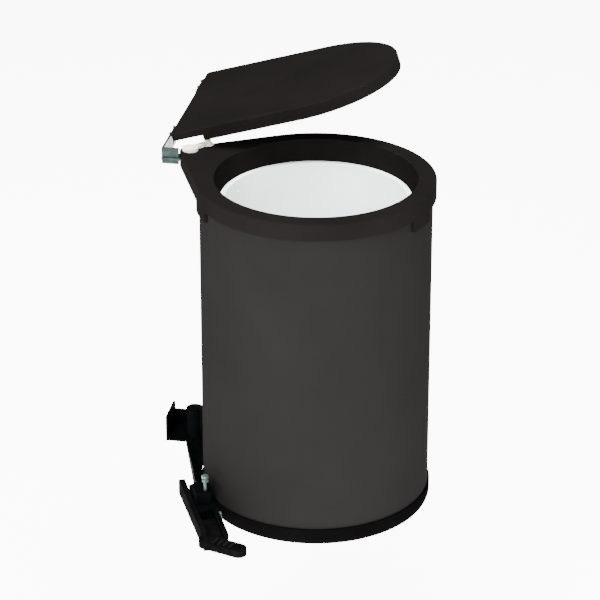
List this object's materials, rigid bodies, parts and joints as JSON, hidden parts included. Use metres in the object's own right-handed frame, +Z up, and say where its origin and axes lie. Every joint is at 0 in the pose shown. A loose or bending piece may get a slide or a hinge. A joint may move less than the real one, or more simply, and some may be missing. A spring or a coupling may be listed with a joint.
{
  "type": "swing-out pedal bin",
  "caption": "Round cabinet waste bin that swings out from a wall-hung bracket on a vertical axis; a hinged lid rises as it swings, and a foot lever sits below.",
  "frame": {"origin": "centre of the screw hole in the lower wall bracket, in the plane of the cabinet's side wall", "axes": "+X away from the side wall into the cabinet, +Y to the back of the cabinet, +Z up"},
  "size_m": [0.3199, 0.4633, 0.4788],
  "materials": {
    "coated_steel": "satin charcoal metallic",
    "black_plastic": "fine-grained satin black",
    "black_steel": "black powder coat",
    "zinc_steel": "zinc plated",
    "nylon": "smooth white nylon",
    "white_plastic": "smooth white",
    "black_rubber": "matt"
  },
  "bodies": {
    "cabinet_mount": {"upper_wall_bracket": "zinc_steel", "far_hinge_bracket": "zinc_steel", "lower_wall_bracket": "black_steel", "upper_swing_pin": "zinc_steel", "lower_swing_pin": "zinc_steel", "near_hinge_pin": "zinc_steel", "far_hinge_pin": "zinc_steel", "pedal_carrier": "black_steel", "pedal_bolt": "zinc_steel"},
    "bin": {"outer_casing": "coated_steel", "base_cup": "black_plastic", "collar": "black_plastic", "lid_cam": "nylon", "ear_bushes": "nylon", "knuckle_bush": "nylon", "lower_hinge_arm": "black_steel", "backing_plate": "zinc_steel", "saddle_rivets": "zinc_steel"},
    "bucket": {"inner_bucket": "white_plastic", "bucket_bail": "zinc_steel"},
    "lid": {"lid_shell": "black_plastic", "lid_stiffeners": "black_plastic", "lid_follower": "nylon"},
    "pedal": {"pedal_lever": "black_plastic", "toe_treads": "black_rubber"},
    "rod": {"release_rod": "zinc_steel", "rod_nuts": "zinc_steel", "return_spring": "zinc_steel"}
  },
  "joints": [
    {"name": "bin_swing", "type": "hinge", "parent": "cabinet_mount", "child": "bin", "pos_m": [0.032, -0.011, 0], "axis": [0, 0, 1], "range_deg": [0, 61.2]},
    {"name": "lid_hinge", "type": "hinge", "parent": "cabinet_mount", "child": "lid", "pos_m": [0.017, 0.022, 0.355], "axis": [0, 1, 0], "range_deg": [0, 16.2]},
    {"name": "bucket_lift", "type": "slide", "parent": "bin", "child": "bucket", "axis": [0, 0, 1], "range_m": [0, 0.02]},
    {"name": "pedal_hinge", "type": "hinge", "parent": "cabinet_mount", "child": "pedal", "pos_m": [0.0826, -0.17546, -0.0296], "axis": [0.9164, 0.4003, 0], "range_deg": [0, 10], "stiffness_Nm_per_rad": 0.6, "springref_deg": -5.73},
    {"name": "rod_slide", "type": "slide", "parent": "cabinet_mount", "child": "rod", "axis": [0, 0, 1], "range_m": [0, 0.003], "deforming": ["return_spring"]}
  ],
  "couplings": [
    {"joint": "lid_hinge", "follows": "bin_swing", "ratio": 0.26471},
    {"joint": "rod_slide", "follows": "pedal_hinge", "m_per_rad": 0.0168}
  ]
}
